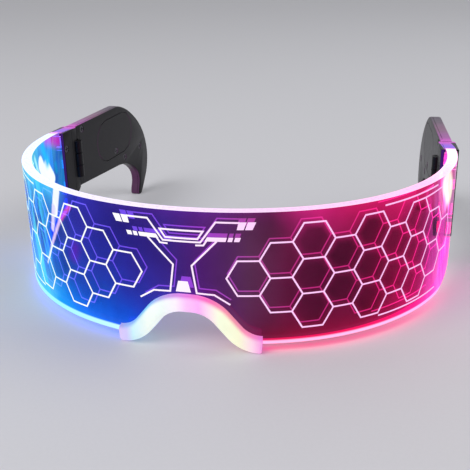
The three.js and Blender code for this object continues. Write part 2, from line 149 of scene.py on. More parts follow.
def vectorCalc(tree, operation, first, second=None, scale=None):
    node = tree.nodes.new("ShaderNodeVectorMath")
    node.operation = operation
    for socket, value in ((node.inputs[0], first), (node.inputs[1], second), (node.inputs[3], scale)):
        if isinstance(value, bpy.types.NodeSocket):
            tree.links.new(value, socket)
        elif value is not None:
            socket.default_value = value
    return node.outputs["Value" if operation in ("LENGTH", "DOT_PRODUCT") else "Vector"]


def scaled(tree, colour, share):
    return vectorCalc(tree, "SCALE", colour, scale=share)


# Each stop is its place from 0 to 1 and its colour as it looks on a screen
def ramp(tree, value, stops, smooth="LINEAR"):
    node = addNode(tree, "ShaderNodeValToRGB", value)
    node.color_ramp.interpolation = smooth
    points = node.color_ramp.elements
    while len(points) < len(stops):
        points.new(0.5)
    for point, (place, *colour) in zip(points, stops):
        point.position = place
        point.color = (*tint(*colour), 1)
    return node.outputs["Color"]


def mixed(tree, share, first, second):
    node = tree.nodes.new("ShaderNodeMix")
    node.data_type = "RGBA"
    for socket, value in ((node.inputs[0], share), (node.inputs[6], first), (node.inputs[7], second)):
        if isinstance(value, bpy.types.NodeSocket):
            tree.links.new(value, socket)
        else:
            socket.default_value = value if socket == node.inputs[0] else (*value, 1)
    return node.outputs[2]


def ease(tree, value, low, high):
    node = addNode(tree, "ShaderNodeMapRange", value, low, high)
    node.interpolation_type = "SMOOTHSTEP"
    return node.outputs["Result"]


def mapped(tree, value, *values):
    return addNode(tree, "ShaderNodeMapRange", value, *values).outputs["Result"]


# The settings of a cloud are its scale, detail and roughness
def cloud(tree, vector, scale, detail, roughness):
    return addNode(tree, "ShaderNodeTexNoise", Vector=vector, Scale=scale, Detail=detail,
                   Roughness=roughness).outputs["Fac"]


def bump(tree, shader, height, strength, distance):
    node = addNode(tree, "ShaderNodeBump", Height=height, Strength=strength, Distance=distance)
    tree.links.new(node.outputs["Normal"], shader.inputs["Normal"])


def link(tree, source, shader, name):
    tree.links.new(source, shader.inputs[name])


# Where a point lies on the sheet: its run along it in millimetres from the middle of the engraving, the same
# as a share from 0 at the wearer's right end to 1 at the left one, its depth from the outer face, and its
# place in space. Then the way that its face looks, and 1 for the outer half of the sheet
def sheetPlaces(tree):
    coords = tree.nodes.new("ShaderNodeTexCoord")
    turned = addNode(tree, "ShaderNodeMapping", coords.outputs["Object"])
    turned.vector_type = "TEXTURE"
    turned.inputs["Location"].default_value = (0, stand["front"] * mm, stand["rise"] * mm)
    turned.inputs["Rotation"].default_value = (stand["tilt"], 0, 0)
    grown = vectorCalc(tree, "SCALE", turned.outputs["Vector"], scale=1 / mm)
    x, y, z = addNode(tree, "ShaderNodeSeparateXYZ", grown).outputs
    aside = calc(tree, "ABSOLUTE", x)
    turn = sheet["frontArc"] / sheet["frontRadius"]
    shift = sheet["frontRadius"] - sheet["sideRadius"]
    arcs = []
    for radius, middle, start in (
            (sheet["frontRadius"], (0, sheet["frontRadius"]), 0),
            (sheet["sideRadius"], (shift * math.sin(turn), sheet["frontRadius"] - shift * math.cos(turn)),
             sheet["frontArc"] - sheet["sideRadius"] * turn)):
        across = calc(tree, "SUBTRACT", aside, middle[0])
        before = calc(tree, "SUBTRACT", middle[1], y)
        angle = calc(tree, "ARCTAN2", across, before)
        far = vectorCalc(tree, "LENGTH", addNode(tree, "ShaderNodeCombineXYZ", across, before).outputs[0])
        arcs.append((calc(tree, "MULTIPLY_ADD", angle, radius, start), calc(tree, "SUBTRACT", radius, far),
                     angle))
    onSide = calc(tree, "GREATER_THAN", arcs[0][2], turn)
    run, depth = [calc(tree, "MULTIPLY_ADD", onSide, calc(tree, "SUBTRACT", arcs[1][i], arcs[0][i]),
                       arcs[0][i]) for i in (0, 1)]
    run = calc(tree, "MULTIPLY_ADD", run, calc(tree, "SIGN", x), -sheet["patternMiddle"])
    halfLength = sheet["frontArc"] + sheet["sideArc"] + sheet["straightEnd"]
    along = calc(tree, "MULTIPLY_ADD", run, 0.5 / halfLength, 0.5, clamp=True)
    facing = addNode(tree, "ShaderNodeSeparateXYZ", coords.outputs["Normal"]).outputs
    outer = calc(tree, "LESS_THAN", depth, sheet["thick"] / 2)
    return {"vector": grown, "along": along, "run": run, "depth": depth, "x": x, "y": y, "z": z,
            "facing": facing, "outer": outer}


def paint(pieces, material):
    for piece in pieces:
        piece.data.materials.clear()
        piece.data.materials.append(material)


def nodesIn(slot):
    return [frame["nodes"][part["node"]] for part in frame["record"]["subparts"]
            if part["material_slot"] == slot]


# The faceted solids shade smoothly across their shallow edges
smooth = {
    "weld": 0.001 * mm,
    "shallow": math.radians(32),
}


def smoothing():
    group = bpy.data.node_groups.new("smooth shallow edges", "GeometryNodeTree")
    group.interface.new_socket("Geometry", in_out="INPUT", socket_type="NodeSocketGeometry")
    group.interface.new_socket("Geometry", in_out="OUTPUT", socket_type="NodeSocketGeometry")
    entry = group.nodes.new("NodeGroupInput")
    weld = group.nodes.new("GeometryNodeMergeByDistance")
    weld.inputs["Distance"].default_value = smooth["weld"]
    angle = group.nodes.new("GeometryNodeInputMeshEdgeAngle")
    shallow = group.nodes.new("FunctionNodeCompare")
    shallow.data_type = "FLOAT"
    shallow.operation = "LESS_THAN"
    shallow.inputs[1].default_value = smooth["shallow"]
    faces = group.nodes.new("GeometryNodeSetShadeSmooth")
    edges = group.nodes.new("GeometryNodeSetShadeSmooth")
    edges.domain = "EDGE"
    leave = group.nodes.new("NodeGroupOutput")
    for source, target in (
            (entry.outputs[0], weld.inputs[0]), (weld.outputs[0], faces.inputs[0]),
            (faces.outputs[0], edges.inputs[0]), (angle.outputs["Unsigned Angle"], shallow.inputs[0]),
            (shallow.outputs[0], edges.inputs["Shade Smooth"]), (edges.outputs[0], leave.inputs[0])):
        group.links.new(source, target)
    return group


smoothGroup = smoothing()
for solid in frame["nodes"].values():
    solid.modifiers.new("smooth", "NODES").node_group = smoothGroup


# The engraving: every line is cut to one width, and the lines meet in mitred corners
engraving = {
    "width": 0.52,
    "motifWidth": 0.54,
    "paintedReflectionWidth": 0.42,
    "proud": 0.03,
    "sunk": 0.02,
    "step": 1.6,  # wide and long faces are cut this short, so that they follow the bend
    "mitreLimit": 1.5,
    "hexagonSide": 6.6,
    "firstColumn": 19.96,
    "rows": [(0,), *[(-0.5, 0.5), (-1, 0, 1)] * 3, (-0.5, 0.5), (0,)],  # of the cells in each column
    "lines": [
        [(63.5, 18.9), (90.5, 19.4)],
        [(82.66, 17.15), (94.3, 17.75)],
        [(63.1, -18.2), (94.3, -18.4)],
    ],
    "motif": [
        [(17.6, 17.8), (10.5, 17.9), (5.8, 11.4), (-5.8, 11.4), (-10.5, 17.9), (-17.6, 17.8)],
        [(6.65, 14.9), (5.0, 12.4), (-5.0, 12.4), (-6.65, 14.9), (6.65, 14.9)],
        [(7.9, 12.3), (6.7, 10.5), (4.3, 10.4)],
        [(10.7, 11.9), (2.9, 3.7), (4.2, -5.3), (9.6, -5.6), (14.4, -8.7)],
    ],
    "blocks": [
        [(7.1, 11.85), (13.35, 11.85), (13.75, 13.15), (7.9, 13.15)],
        [(13.9, 11.85), (15.25, 11.85), (15.65, 13.15), (14.3, 13.15)],
        [(15.8, 11.85), (17.4, 11.85), (17.9, 13.15), (16.2, 13.15)],
        [(16.7, 15.6), (18.7, 15.6), (19.6, 18.0), (17.3, 18.0)],
        [(19.1, 15.6), (21.3, 15.6), (22.4, 18.0), (20.0, 18.0)],
    ],
    "keystone": [(-2.4, -5.2), (2.4, -5.2), (1.5, -1.6), (-1.5, -1.6)],
}


def bothSides(lines):
    return lines + [[(-s, z) for s, z in line] for line in lines]


def hexagons():
    side = engraving["hexagonSide"]
    outlines = []
    for column, rows in enumerate(engraving["rows"]):
        for row in rows:
            middle = (engraving["firstColumn"] + 1.5 * side * column, math.sqrt(3) * side * row)
            corners = [(middle[0] + side * math.cos(math.radians(60 * i)),
                        middle[1] + side * math.sin(math.radians(60 * i))) for i in range(7)]
            outlines.append(corners)
    return outlines


# Turns lines into flat outlines of one width. Every place where lines meet gets its own corners
def strips(lines, width):
    places, roads = {}, set()

    def named(point):
        key = (round(point[0], 2), round(point[1], 2))
        places.setdefault(key, Vector(point))
        return key

    for line in lines:
        for start, end in zip(line, line[1:]):
            a, b = named(start), named(end)
            roads.add((min(a, b), max(a, b)))
    meeting = {key: [] for key in places}
    for a, b in roads:
        meeting[a].append(b)
        meeting[b].append(a)
    corners = {}
    outlines = []
    for key, others in meeting.items():
        angle = {b: math.atan2(*(places[b] - places[key]).yx) for b in others}
        others.sort(key=angle.get)
        ring = []
        for i, b in enumerate(others):
            following = others[(i + 1) % len(others)]
            if len(others) == 1:
                for side in (1, -1):
                    turn = angle[b] + side * math.pi / 2
                    corners[key, b, side] = places[key] + Vector((math.cos(turn), math.sin(turn))) * width / 2
                continue
            wedge = (angle[following] - angle[b]) % (2 * math.pi)
            reach = min(width / 2 / math.sin(wedge / 2), engraving["mitreLimit"] * width)
            turn = angle[b] + wedge / 2
            point = places[key] + Vector((math.cos(turn), math.sin(turn))) * reach
            corners[key, b, 1] = corners[key, following, -1] = point
            ring.append(point)
        if len(ring) > 2:
            outlines.append(ring)
    for a, b in sorted(roads):
        right = (corners[a, b, -1], corners[b, a, 1])
        left = (corners[a, b, 1], corners[b, a, -1])
        count = max(1, math.ceil((places[b] - places[a]).length / engraving["step"]))
        for i in range(count):
            near, far = i / count, (i + 1) / count
            outlines.append([right[0].lerp(right[1], near), right[0].lerp(right[1], far),
                             left[0].lerp(left[1], far), left[0].lerp(left[1], near)])
    return outlines


# Lays flat outlines on the sheet, as thin closed forms between two depths
def layOn(name, outlines, outer, inner):
    points, faces = [], []
    index = {}
    for outline in outlines:
        face = []
        for point in outline:
            key = (round(point[0], 3), round(point[1], 3))
            if key not in index:
                index[key] = len(points)
                points.append(point)
            if index[key] not in face:
                face.append(index[key])
        if len(face) > 2:
            faces.append(face)
    count = len(points)
    edges = {}
    for face in faces:
        for a, b in zip(face, face[1:] + face[:1]):
            edges[a, b] = edges.get((a, b), 0) + 1
    walls = [[b, a, a + count, b + count] for a, b in edges if (b, a) not in edges]
    backs = [[i + count for i in reversed(face)] for face in faces]
    places = [onSheet(s, z, outer) for s, z in points] + [onSheet(s, z, inner) for s, z in points]
    piece = newMesh(name, places, faces + backs + walls)
    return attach(piece, "front")


# The visor: acrylic that carries blue light in from one end and pink from the other. That light is painted into
# its tint as well as its glow, and its colours go from the wearer's right end to the left one
visor = {
    "ior": 1.03,
    "coat": {"Coat_Weight": 0.1, "Coat_Roughness": 0.03, "Coat_IOR": 1.49},
    "strength": 2.5,
    # the sheet's tint: painted light, in the colours that the sheet carries in from each end
    "paintedLightTint": [(0, 24, 110, 235), (0.1, 20, 84, 200), (0.17, 22, 56, 150), (0.22, 14, 78, 184),
              (0.27, 26, 66, 184), (0.33, 50, 46, 162), (0.42, 48, 36, 140), (0.48, 60, 38, 130),
              (0.52, 84, 33, 114), (0.575, 92, 48, 84), (0.62, 96, 24, 62), (0.7, 102, 20, 60),
              (0.76, 145, 18, 72), (0.81, 172, 20, 90), (0.86, 214, 58, 168), (1, 232, 84, 205)],
    "seen": 0.85,  # how strong a tint that painted light is on what lies behind
    "backdrop": 0.5,  # the share of it that the pale surroundings give already
    "glow": 0.62,  # the share of the rest that each face gives off
    "smudge": (0.09, 5.0, 0.6),
    "roughness": (0.05, 0.01),

    # the light of the rims in the faces
    "topSpill": [(0, 40, 140, 250), (0.2, 120, 238, 246), (0.28, 60, 212, 248), (0.31, 100, 230, 244),
                 (0.345, 62, 62, 214), (0.4, 56, 44, 150), (0.5, 96, 42, 156), (0.6, 120, 34, 96),
                 (0.635, 208, 40, 132), (0.7, 224, 30, 112), (0.8, 236, 34, 122), (0.86, 220, 70, 140),
                 (1, 240, 90, 200)],
    "bottomSpill": [(0, 0, 150, 255), (0.2, 140, 240, 252), (0.27, 124, 240, 248), (0.31, 10, 180, 246),
                    (0.36, 0, 138, 252), (0.45, 10, 96, 236), (0.54, 120, 40, 120), (0.6, 150, 20, 62),
                    (0.72, 176, 22, 78), (0.8, 208, 32, 120), (0.88, 248, 130, 226), (1, 252, 150, 235)],
    "topReach": (2.6, 8.0),  # in the middle and past these runs
    "topReachStarts": (27, 42),
    "bottomReach": (9.5, 4.0),  # at the blue end and at the pink one
    "middle": (0.4, 0.6),  # where the one end's values turn into the other's
    "topInCells": (-0.7, 0.95),
    "bottomInSmudges": (1.5, 0.45),
    "bottomInPinkCells": (-0.5, 1.0),

    # the rims
    "topRim": [(0.022, 255, 160, 228), (0.034, 246, 254, 255), (0.2, 252, 255, 249), (0.45, 255, 242, 255),
               (0.6, 255, 216, 255), (0.82, 255, 210, 250), (0.89, 255, 240, 250), (0.94, 255, 255, 252)],
    "topRimTones": (-0.2, 1.08),
    "core": (0.25, 0.8),  # depths between which the rim's calmer core starts
    "specks": (1.1, 3.0, 0.7),
    "speckEdge": (0.42, 0.62),
    "bottomRim": [(0, 170, 255, 250), (0.3, 165, 250, 255), (0.42, 205, 250, 255), (0.55, 255, 190, 228),
                  (0.75, 255, 198, 240), (1, 255, 176, 255)],
    "bottomRimHeight": (1.75, 1.1),
    "bottomRimEdge": 0.35,
    "bottomRimOutside": (0.92, 0.08),
    "under": [(0, 0, 140, 255), (0.4, 10, 110, 255), (0.5, 150, 60, 235), (0.6, 240, 30, 105),
              (1, 250, 50, 145)],
    "rimFacing": (0.4, 0.7),

    # the combed streaks of painted light near the ends
    "streaks": [(0, 150, 255, 246), (0.22, 100, 246, 246), (0.4, 70, 226, 250), (0.6, 240, 90, 210),
                (1, 255, 176, 246)],
    "streakStarts": ((-50, -62), (84, 100)),
    "combing": (0.34, 0.17, 1.1),
    "combDetail": (3.0, 0.55),
    "combSlant": 0.3,
    "combUpright": 0.1,
    "narrowCombs": (0.4, 0.62),
    "broadCombs": (0.47, 0.55),
    "farStart": (72, 90),  # past this run the outer face has fainter streaks
    "farStreaks": (-0.5, 1.0),
    "innerCalmStart": (97, 107),  # and the inner face past this one
    "calmStreaks": (-0.9, 1.0),
    "fraying": (2.6, -1.3),

    # the engraved cells, which are darker than the sheet round them
    "cellShade": 0.42,
    "cellEdge": 0.1,
    "cellFade": 2.6,
    "cellSlack": 1.0,  # told apart by their middles, to within this
    "pinkCells": (26.0, 46.0),
    "sideCells": (34.0, 50.0),
    "sideCellShade": 0.6,
    "litCells": (-51, -59),  # past this run the cells are lit as the sheet round them is
    "litCellStreaks": (0.35, -0.6),
    "blueBend": (-74, -83),  # and past this one they are dark again
    "blueBendShade": 0.85,
    "blueBendStreaks": -0.5,
    "haloFade": 1.1,  # how far the light of the lines reaches into the cells at the blue bend
    "haloShare": 0.75,
    "bendShadow": ((-73, -77), (-97, -92), (8, 0)),  # runs and heights of the dark stretch at the blue bend
    "bendShadowTone": tint(20, 44, 128),

    # patches, and specks of dust: how many, how soft they are, how many are left out, and how bright they are
    "patches": (0.055, 3.0, 0.55),
    "patchTones": (0.3, 0.7, 0.8, 1.24),
    "dust": {"scale": 0.3, "edge": (0.05, 0.05 / 3), "leftOut": 0.62, "tone": 2.2},
}

# Shards and spots of light in the sheet: where each starts and ends (run and height), half its width, how
# soft its sides are, how much the combing frays them, and its colour
innerGlints = [
    ((-107.2, 13.6), (-112.4, 5.4), 3.1, 0.7, 0.5, tint(245, 255, 252, 1.7)),
    ((-113.8, 11.2), (-119.0, 4.2), 2.5, 0.6, 0.4, tint(248, 255, 252, 1.7)),
    ((-98.5, 18.0), (-104.0, 9.5), 1.2, 1.0, 0.8, tint(185, 255, 240, 1.4)),
    ((-111.5, 19.0), (-115.5, 12.0), 1.9, 2.0, 0.5, tint(30, 205, 255, 1.2)),
    ((-123.0, 9.2), (-123.4, 6.4), 0.9, 1.6, 0.3, tint(14, 182, 242, 1.1)),
    ((-117.0, 21.5), (-127.0, 18.0), 2.4, 2.2, 0.2, tint(214, 72, 220, 1.2)),
    ((104.0, 17.0), (112.0, 5.5), 2.4, 0.7, 0.5, tint(255, 246, 240, 1.7)),
    ((111.0, 12.5), (119.5, 2.0), 1.2, 0.6, 0.5, tint(255, 236, 246, 1.7)),
    ((117.0, 21.5), (127.0, 18.0), 2.4, 2.2, 0.2, tint(250, 90, 210, 1.3)),
]
outerGlints = [
    ((-39.4, 3.0), (-40.6, -0.5), 1.4, 2.6, 0.5, tint(108, 36, 186)),
    ((-46.7, 20.6), (-49.0, 13.0), 1.65, 0.35, 0.15, tint(255, 255, 250, 1.5)),
    ((-49.4, 14.5), (-51.4, 6.5), 0.95, 0.6, 0.3, tint(250, 236, 252, 1.3)),
    ((-40.6, 16.6), (-46.4, 10.6), 0.8, 0.6, 0.25, tint(232, 92, 192, 1.2)),
    ((-46.4, 10.6), (-53.6, -0.4), 0.65, 0.45, 0.25, tint(248, 214, 250, 1.3)),
    ((-53.6, -0.4), (-58.2, -8.0), 0.4, 0.35, 0.2, tint(232, 240, 252, 1.2)),
    ((92.6, 16.5), (97.0, 8.0), 0.9, 1.3, 0.6, tint(250, 150, 205)),
    ((99.0, 18.0), (103.0, 13.6), 4.5, 1.6, 0.9, tint(255, 246, 218, 1.6)),
]


def glintShare(tree, at, start, end, half, soft, fray, fraying):
    place = addNode(tree, "ShaderNodeCombineXYZ", at["run"], at["z"]).outputs[0]
    away = vectorCalc(tree, "SUBTRACT", place, (*start, 0))
    reach = Vector(end) - Vector(start)
    share = calc(tree, "MULTIPLY", vectorCalc(tree, "DOT_PRODUCT", away, (*reach, 0)),
                 1 / reach.length_squared, clamp=True)
    aside = vectorCalc(tree, "SUBTRACT", away, vectorCalc(tree, "SCALE", (*reach, 0), scale=share))
    frayed = calc(tree, "MULTIPLY_ADD", fraying, fray, vectorCalc(tree, "LENGTH", aside))
    return ease(tree, frayed, half + soft, half - soft)


# Where a point lies in the engraved cells: 1 well inside one of them, 0 on its outline and past the last
# cell. Then the light that the lines throw into the cells
def cellShare(tree, at):
    side = engraving["hexagonSide"]
    high = math.sqrt(3) * side
    far = len(engraving["rows"]) // 2 * 1.5 * side  # from the middle of the row of columns to its last one
    period, half = Vector((3 * side, high, 1)), Vector((1.5 * side, high / 2, 0))
    lift = Vector((0, 0, 0.5))  # keeps the unused third axis in the middle of its step
    run = calc(tree, "SUBTRACT", calc(tree, "ABSOLUTE", at["run"]), engraving["firstColumn"])
    place = addNode(tree, "ShaderNodeCombineXYZ", run, at["z"]).outputs[0]
    whole = vectorCalc(tree, "SNAP", vectorCalc(tree, "ADD", place, half + lift), period)
    between = vectorCalc(tree, "SNAP", vectorCalc(tree, "ADD", place, lift), period)
    between = vectorCalc(tree, "ADD", between, half)
    lengths = [vectorCalc(tree, "LENGTH", vectorCalc(tree, "SUBTRACT", place, middle))
               for middle in (whole, between)]
    toWhole = vectorCalc(tree, "SCALE", vectorCalc(tree, "SUBTRACT", whole, between),
                         scale=calc(tree, "LESS_THAN", *lengths))
    middle = vectorCalc(tree, "ADD", between, toWhole)
    away = vectorCalc(tree, "ABSOLUTE", vectorCalc(tree, "SUBTRACT", place, middle))
    aside, above = addNode(tree, "ShaderNodeSeparateXYZ", away).outputs[:2]
    slant = calc(tree, "MULTIPLY_ADD", aside, math.sqrt(3) / 2, calc(tree, "MULTIPLY", above, 0.5))
    outward = calc(tree, "MAXIMUM", above, slant)
    edge = high / 2 - visor["cellEdge"]
    within = ease(tree, outward, edge, high / 2 - visor["cellFade"])
    near = ease(tree, outward, high / 2 - visor["haloFade"], edge)
    column, row = addNode(tree, "ShaderNodeSeparateXYZ", middle).outputs[:2]
    fromMiddle = calc(tree, "ABSOLUTE", calc(tree, "SUBTRACT", column, far))
    off, slack = calc(tree, "ABSOLUTE", row), visor["cellSlack"]
    rowEnds = product(tree, calc(tree, "LESS_THAN", off, slack),
                      calc(tree, "LESS_THAN", fromMiddle, far + slack))
    rest = product(tree, calc(tree, "LESS_THAN", off, high + slack),
                   calc(tree, "LESS_THAN", fromMiddle, far - slack))
    engravedHere = calc(tree, "MAXIMUM", rowEnds, rest)
    return product(tree, within, engravedHere), product(tree, near, engravedHere)


def visorMaterial():
    material, tree, shader = startMaterial("edge lit acrylic", Transmission_Weight=1.0, IOR=visor["ior"],
                                           Emission_Strength=visor["strength"], **visor["coat"])
    at = sheetPlaces(tree)
    aside = calc(tree, "ABSOLUTE", at["run"])
    inward = calc(tree, "SUBTRACT", 1.0, at["outer"])
    smudge = cloud(tree, at["vector"], *visor["smudge"])
    cells, halo = cellShare(tree, at)
    atBlueBend, litCells, atPink = [ease(tree, at["run"], *visor[key])
                                    for key in ("blueBend", "litCells", "pinkCells")]
    bend, bendEnd, bendHeight = visor["bendShadow"]
    bendShare = product(tree, ease(tree, at["run"], *bend), ease(tree, at["run"], *bendEnd),
                        ease(tree, at["z"], *bendHeight))
    paintedLightTint = mixed(tree, bendShare, ramp(tree, at["along"], visor["paintedLightTint"]), visor["bendShadowTone"])
    link(tree, scaled(tree, paintedLightTint, visor["seen"]), shader, "Base Color")
    link(tree, fitted(tree, smudge, visor["roughness"]), shader, "Roughness")

    def byEnd(values):
        return mapped(tree, at["along"], *visor["middle"], *values)

    def fading(distance, reach):
        return calc(tree, "EXPONENT", calc(tree, "DIVIDE", calc(tree, "MULTIPLY", distance, -1.0), reach))

    # the spill of both rims over the tone of the faces
    fromBottom = calc(tree, "SUBTRACT", at["z"], sheet["bottom"])
    topReach = mapped(tree, aside, *visor["topReachStarts"], *visor["topReach"])
    topShare = calc(tree, "MULTIPLY", fading(calc(tree, "SUBTRACT", sheet["top"], at["z"]), topReach),
                    fitted(tree, cells, visor["topInCells"]), clamp=True)
    bottomShare = calc(tree, "MULTIPLY", fading(fromBottom, byEnd(visor["bottomReach"])),
                       fitted(tree, smudge, visor["bottomInSmudges"]), clamp=True)
    bottomShare = product(tree, bottomShare,
                          fitted(tree, product(tree, cells, atPink), visor["bottomInPinkCells"]))
    tone = mixed(tree, topShare, paintedLightTint, ramp(tree, at["along"], visor["topSpill"]))
    tone = mixed(tree, bottomShare, tone, ramp(tree, at["along"], visor["bottomSpill"]))

    # the streaks of painted light, narrow ones and, outside at the blue bend, broad ones
    combed = addNode(tree, "ShaderNodeCombineXYZ",
                     calc(tree, "MULTIPLY_ADD", at["z"], visor["combSlant"], at["run"]),
                     calc(tree, "MULTIPLY", at["z"], visor["combUpright"])).outputs[0]
    wide, broad, fine = [cloud(tree, combed, scale, *visor["combDetail"]) for scale in visor["combing"]]
    narrow = ease(tree, wide, *visor["narrowCombs"])
    combs = calc(tree, "MULTIPLY_ADD",
                 calc(tree, "SUBTRACT", ease(tree, broad, *visor["broadCombs"]), narrow),
                 product(tree, litCells, at["outer"]), narrow)
    atEnds = calc(tree, "MAXIMUM", *[ease(tree, at["run"], *starts) for starts in visor["streakStarts"]])
    farOut = product(tree, ease(tree, aside, *visor["farStart"]), at["outer"])
    innerCalm = product(tree, ease(tree, aside, *visor["innerCalmStart"]), inward)
    inCells = calc(tree, "MULTIPLY_ADD", atBlueBend, visor["blueBendStreaks"],
                   fitted(tree, litCells, visor["litCellStreaks"]))
    streakShare = product(tree, combs, atEnds, fitted(tree, farOut, visor["farStreaks"]),
                          calc(tree, "MULTIPLY_ADD", cells, inCells, 1.0),
                          fitted(tree, innerCalm, visor["calmStreaks"]),
                          fitted(tree, bendShare, visor["calmStreaks"]))
    streaks = ramp(tree, at["along"], visor["streaks"])
    tone = mixed(tree, streakShare, tone, streaks)

    # the darker cells, the patches, the light of the lines in the cells, and the glints
    atSides = calc(tree, "SUBTRACT", ease(tree, aside, *visor["sideCells"]), litCells)
    shadeShare = calc(tree, "MULTIPLY_ADD", atBlueBend, visor["blueBendShade"],
                      product(tree, atSides, visor["sideCellShade"]))
    shade = product(tree, cells, visor["cellShade"], calc(tree, "MAXIMUM", atPink, shadeShare))
    patches = mapped(tree, cloud(tree, at["vector"], *visor["patches"]), *visor["patchTones"])
    tone = scaled(tree, tone, product(tree, calc(tree, "SUBTRACT", 1.0, shade), patches))
    haloShare = product(tree, halo, atBlueBend, at["outer"], visor["haloShare"])
    tone = mixed(tree, haloShare, tone, streaks)
    fraying = fitted(tree, fine, visor["fraying"])
    for glints, face in ((outerGlints, at["outer"]), (innerGlints, inward)):
        for *shape, colour in glints:
            tone = mixed(tree, product(tree, glintShare(tree, at, *shape, fraying), face), tone, colour)

    # what the faces give off: what the backdrop does not give already, with specks of dust
    given = vectorCalc(tree, "SUBTRACT", tone, scaled(tree, paintedLightTint, visor["backdrop"]))
    given = scaled(tree, vectorCalc(tree, "MAXIMUM", given, (0, 0, 0)), visor["glow"] / visor["strength"])
    dust = visor["dust"]
    grains = addNode(tree, "ShaderNodeTexVoronoi", Vector=at["vector"], Scale=dust["scale"])
    drawn = addNode(tree, "ShaderNodeSeparateXYZ", grains.outputs["Color"]).outputs[0]
    dustShare = product(tree, ease(tree, grains.outputs["Distance"], *dust["edge"]),
                        calc(tree, "GREATER_THAN", drawn, dust["leftOut"]))
    given = scaled(tree, given, calc(tree, "MULTIPLY_ADD", dustShare, dust["tone"], 1.0))

    # the rims, and the line of light that the lower one shows in both faces
    specks = cloud(tree, at["vector"], *visor["specks"])
    toEdge = calc(tree, "MINIMUM", at["depth"], calc(tree, "SUBTRACT", sheet["thick"], at["depth"]))
    core = product(tree, ease(tree, toEdge, *visor["core"]), ease(tree, specks, *visor["speckEdge"]))
    rimTones = [value / visor["strength"] for value in visor["topRimTones"]]
    topRim = scaled(tree, ramp(tree, at["along"], visor["topRim"]),
                    fitted(tree, core, rimTones))
    bottomRim = scaled(tree, ramp(tree, at["along"], visor["bottomRim"]), 1 / visor["strength"])
    overLine = calc(tree, "SUBTRACT", fromBottom, byEnd(visor["bottomRimHeight"]))
    edge = visor["bottomRimEdge"]
    lineShare = product(tree, ease(tree, overLine, edge, -edge),
                        fitted(tree, at["outer"], visor["bottomRimOutside"]))
    given = mixed(tree, lineShare, given, bottomRim)
    isTop = calc(tree, "GREATER_THAN", at["z"], 0.0)
    rim = mixed(tree, isTop, ramp(tree, at["along"], visor["under"]), topRim)
    rimShare = ease(tree, calc(tree, "ABSOLUTE", at["facing"][2]), *visor["rimFacing"])
    link(tree, mixed(tree, rimShare, given, rim), shader, "Emission Color")
    return material


paint(nodesIn("visor_acrylic"), visorMaterial())
print("visor done")


engraved = {
    "lines": [(0, 150, 255, 255), (0.12, 190, 255, 255), (0.3, 240, 255, 255), (0.42, 255, 252, 255),
              (0.5, 255, 238, 255), (0.58, 252, 206, 250), (0.7, 255, 192, 246), (0.85, 255, 186, 244),
              (1, 255, 170, 255)],
    "lineStrength": 0.9,
    "paintedReflection": [(0, 150, 240, 255), (0.2, 160, 205, 245), (0.33, 178, 168, 232), (0.45, 184, 136, 226),
             (0.52, 194, 122, 218), (0.6, 208, 104, 186), (0.72, 236, 92, 176), (0.88, 250, 112, 206),
             (1, 255, 150, 235)],
    "paintedReflectionStrength": 2.0,
    "roughness": 0.75,
    "grain": (3.2, 3.0, 0.6),
    "grainTones": (0.24, 0.88),
    "baseShare": 0.22,
    "bump": (0.5, 0.00003),
}


def engravedMaterial(name, stops, strength):
    material, tree, shader = startMaterial(name, Roughness=engraved["roughness"], Emission_Strength=strength)
    at = sheetPlaces(tree)
    grain = cloud(tree, at["vector"], *engraved["grain"])
    colour = scaled(tree, ramp(tree, at["along"], stops),
                    fitted(tree, grain, engraved["grainTones"]))
    link(tree, colour, shader, "Emission Color")
    link(tree, scaled(tree, colour, engraved["baseShare"]), shader, "Base Color")
    bump(tree, shader, grain, *engraved["bump"])
    return material


def hexagonOutlines(width):
    return strips(bothSides(hexagons() + engraving["lines"]), width)


# Cuts a wide block across, because a wide flat face would sink into the bent sheet
def stretches(block):
    lowStart, lowEnd, highEnd, highStart = [Vector(point) for point in block]
    count = math.ceil((lowEnd - lowStart).length / engraving["step"])
    low, high = [[start.lerp(end, i / count) for i in range(count + 1)]
                 for start, end in ((lowStart, lowEnd), (highStart, highEnd))]
    return [[low[i], low[i + 1], high[i + 1], high[i]] for i in range(count)]


def bridgeOutlines(width):
    motif = engraving["motif"]
    outlines = strips(bothSides(motif[2:]) + motif[:2], width)
    for block in engraving["blocks"]:
        for piece in stretches(block):
            outlines += [piece, [Vector((-s, z)) for s, z in reversed(piece)]]
    return outlines + stretches(engraving["keystone"])


# The engraving's reflection in the inner face is painted: thinner lit lines laid on the inner face
lineMaterial = engravedMaterial("lit engraving", engraved["lines"], engraved["lineStrength"])
paintedReflectionMaterial = engravedMaterial("painted reflection of the engraving in the inner face", engraved["paintedReflection"],
                                engraved["paintedReflectionStrength"])
proud, sunk, thin = engraving["proud"], engraving["sunk"], engraving["paintedReflectionWidth"]
front, back = (-proud, sunk), (sheet["thick"] - sunk, sheet["thick"] + proud)
for name, outlines, depths, material in (
        ("hexagon_engraving", hexagonOutlines(engraving["width"]), front, lineMaterial),
        ("bridge_engraving", bridgeOutlines(engraving["motifWidth"]), front, lineMaterial),
        ("hexagon_engraving_painted_reflection", hexagonOutlines(thin), back, paintedReflectionMaterial),
        ("bridge_engraving_painted_reflection", bridgeOutlines(thin), back, paintedReflectionMaterial)):
    piece = layOn(name, outlines, *depths)
    paint([piece], material)
print("engraving done")


